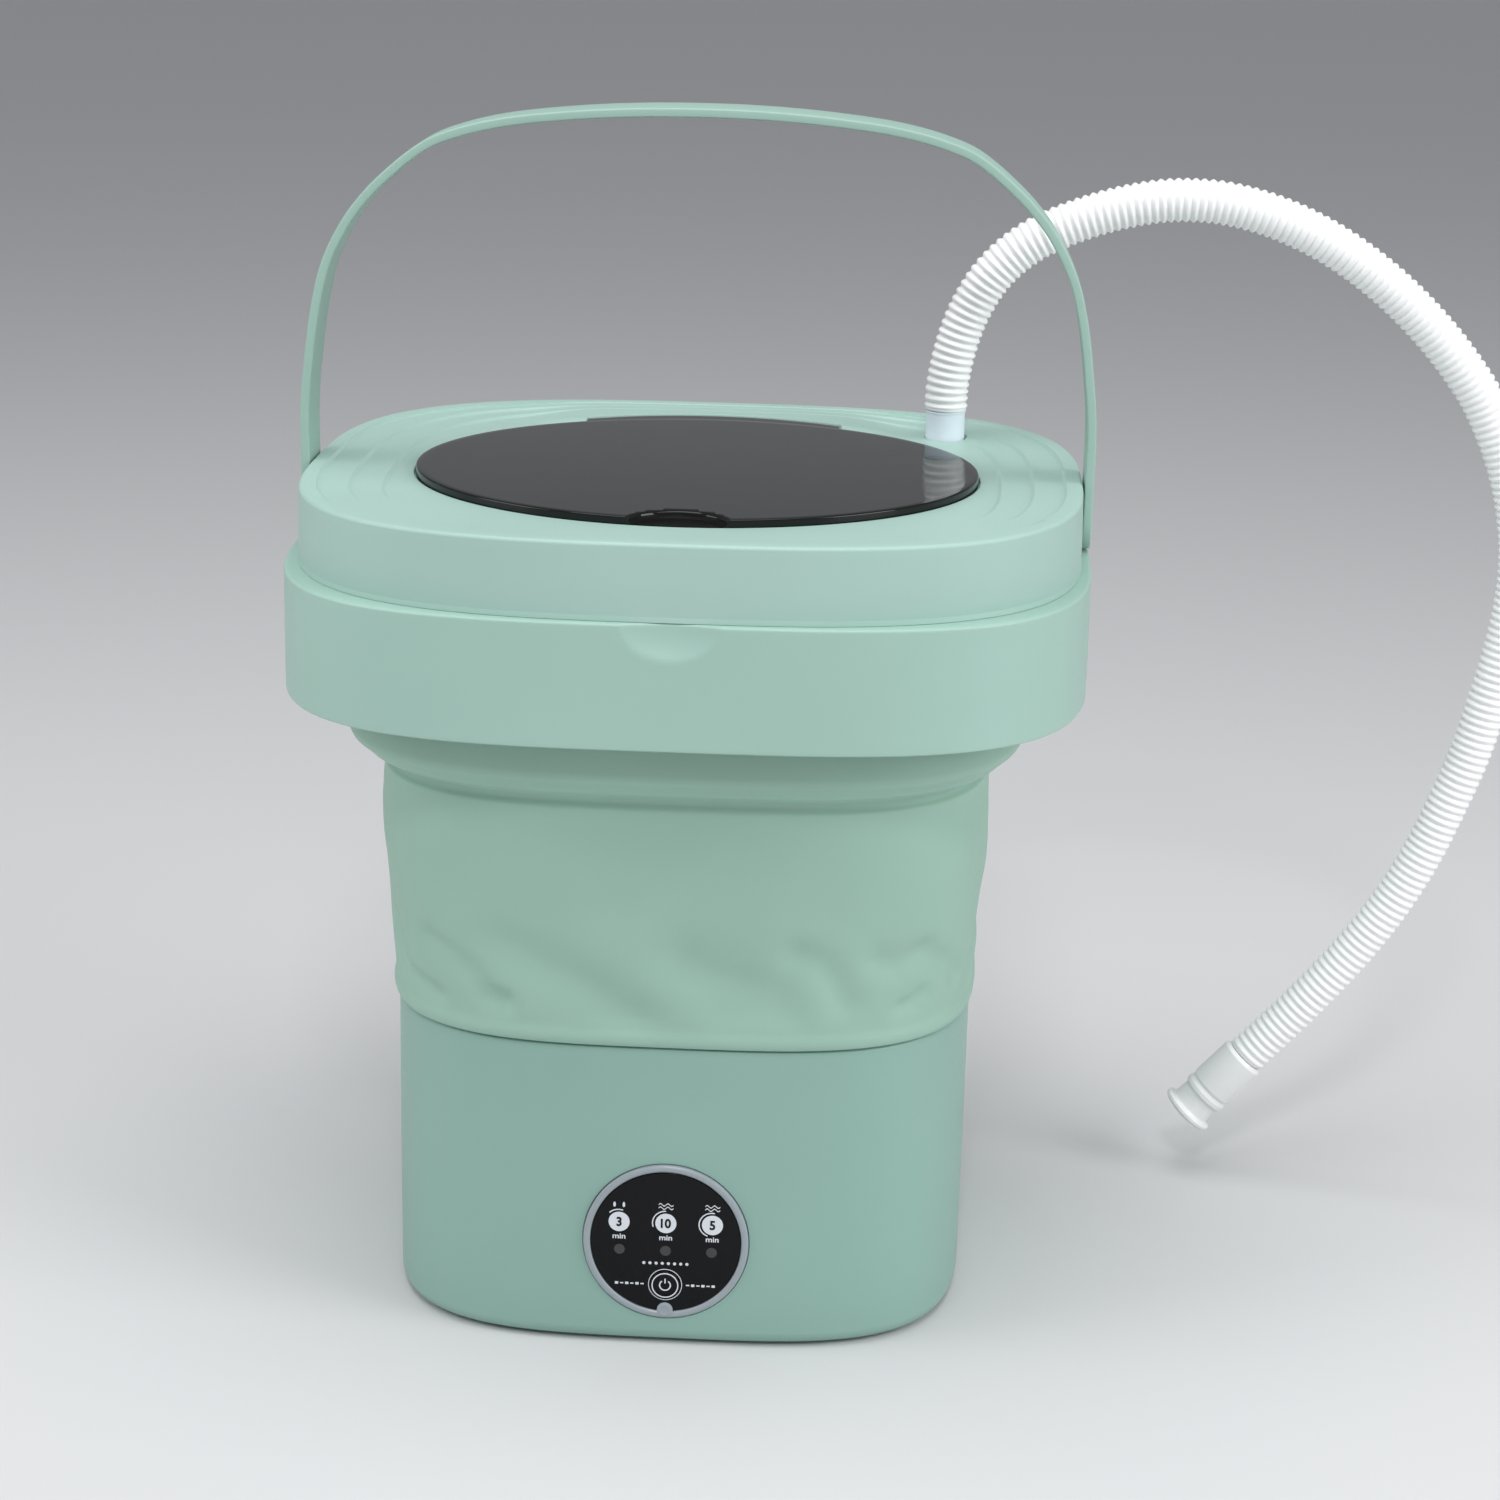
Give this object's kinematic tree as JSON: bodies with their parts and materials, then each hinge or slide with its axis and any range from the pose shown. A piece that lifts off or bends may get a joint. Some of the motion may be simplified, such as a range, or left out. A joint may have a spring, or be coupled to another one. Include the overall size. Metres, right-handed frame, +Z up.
{
  "type": "portable folding mini washing machine",
  "caption": "Small folding washing machine: round-cornered base with a front control panel, soft folding tub, deep collar, dished lid with an oval flip lid, carrying handle and drain hose.",
  "frame": {"origin": "centre of the washer's outline on the plane it stands on, the drain hose left out", "axes": "+Z up, -Y towards the front with the control panel, +X towards the side the drain hose hangs on"},
  "size_m": [0.5016, 0.2862, 0.469],
  "materials": {
    "collar_plastic": "satin",
    "lid_plastic": "satin",
    "base_plastic": "satin",
    "handle_plastic": "satin",
    "soft_tub_rubber": "soft satin",
    "black_gloss": "polished",
    "white_plastic": "satin",
    "pale_plastic": "satin",
    "black_rubber": "matte",
    "steel": "plain",
    "bronze": "plain",
    "black_plastic": "satin",
    "silver_trim": "metallic",
    "board_laminate": "laminate",
    "clear_plastic": "clear",
    "cuff_plastic": "satin"
  },
  "bodies": {
    "base": {"base_housing": "base_plastic", "base_cover": "base_plastic", "rubber_foot_1": "black_rubber", "rubber_foot_2": "black_rubber", "rubber_foot_3": "black_rubber", "rubber_foot_4": "black_rubber", "cover_screw_1": "steel", "cover_screw_2": "steel", "cover_screw_3": "steel", "cover_screw_4": "steel", "tub_floor": "base_plastic", "bellows_tub": "soft_tub_rubber", "shaft_bush": "bronze", "shaft_seal": "black_rubber", "gearbox": "steel", "motor_can": "steel", "motor_end_cap": "black_plastic", "motor_plate": "steel", "motor_screw_1": "steel", "motor_screw_2": "steel", "motor_screw_3": "steel", "motor_screw_4": "steel", "drain_strainer": "pale_plastic", "drain_port": "white_plastic", "drain_pump": "black_plastic", "panel_bezel": "silver_trim", "panel_lens": "black_gloss", "board_carrier": "pale_plastic", "control_board": "board_laminate", "tact_switch": "black_plastic", "led_1": "clear_plastic", "led_2": "clear_plastic", "led_3": "clear_plastic", "dc_jack": "black_plastic", "motor_cable": "black_plastic", "jack_cable": "black_plastic", "riser_hose": "white_plastic", "drain_hose": "white_plastic", "hose_end_fitting": "white_plastic"},
    "upper": {"collar": "collar_plastic", "upper_clamp_ring": "collar_plastic", "lid_frame": "lid_plastic", "hinge_pin": "steel", "hose_cuff": "cuff_plastic"},
    "flip_lid": {"flip_lid": "black_gloss"},
    "handle": {"handle": "handle_plastic", "handle_pin_left": "handle_plastic", "handle_pin_right": "handle_plastic"},
    "start_button": {"start_button": "black_gloss"},
    "drive": {"drive_shaft": "steel", "pulsator": "pale_plastic", "pulsator_cap": "pale_plastic"}
  },
  "joints": [
    {"name": "collapse", "type": "slide", "parent": "base", "child": "upper", "axis": [0, 0, 1], "range_m": [-0.14, 0], "deforming": ["bellows_tub", "riser_hose", "drain_hose"]},
    {"name": "flip_lid_hinge", "type": "hinge", "parent": "upper", "child": "flip_lid", "pos_m": [0, 0.0964, 0.3246], "axis": [-1, 0, 0], "range_deg": [0, 46]},
    {"name": "handle_swing", "type": "hinge", "parent": "upper", "child": "handle", "pos_m": [0, 0, 0.3128], "axis": [1, 0, 0], "range_deg": [-28, 88]},
    {"name": "start_button_press", "type": "slide", "parent": "base", "child": "start_button", "axis": [0, 1, 0], "range_m": [0, 0.0012], "stiffness_N_per_m": 300, "springref_m": -0.001},
    {"name": "pulsator_spin", "type": "hinge", "parent": "base", "child": "drive", "pos_m": [0, 0, 0.12], "axis": [0, 0, 1], "continuous": true}
  ]
}
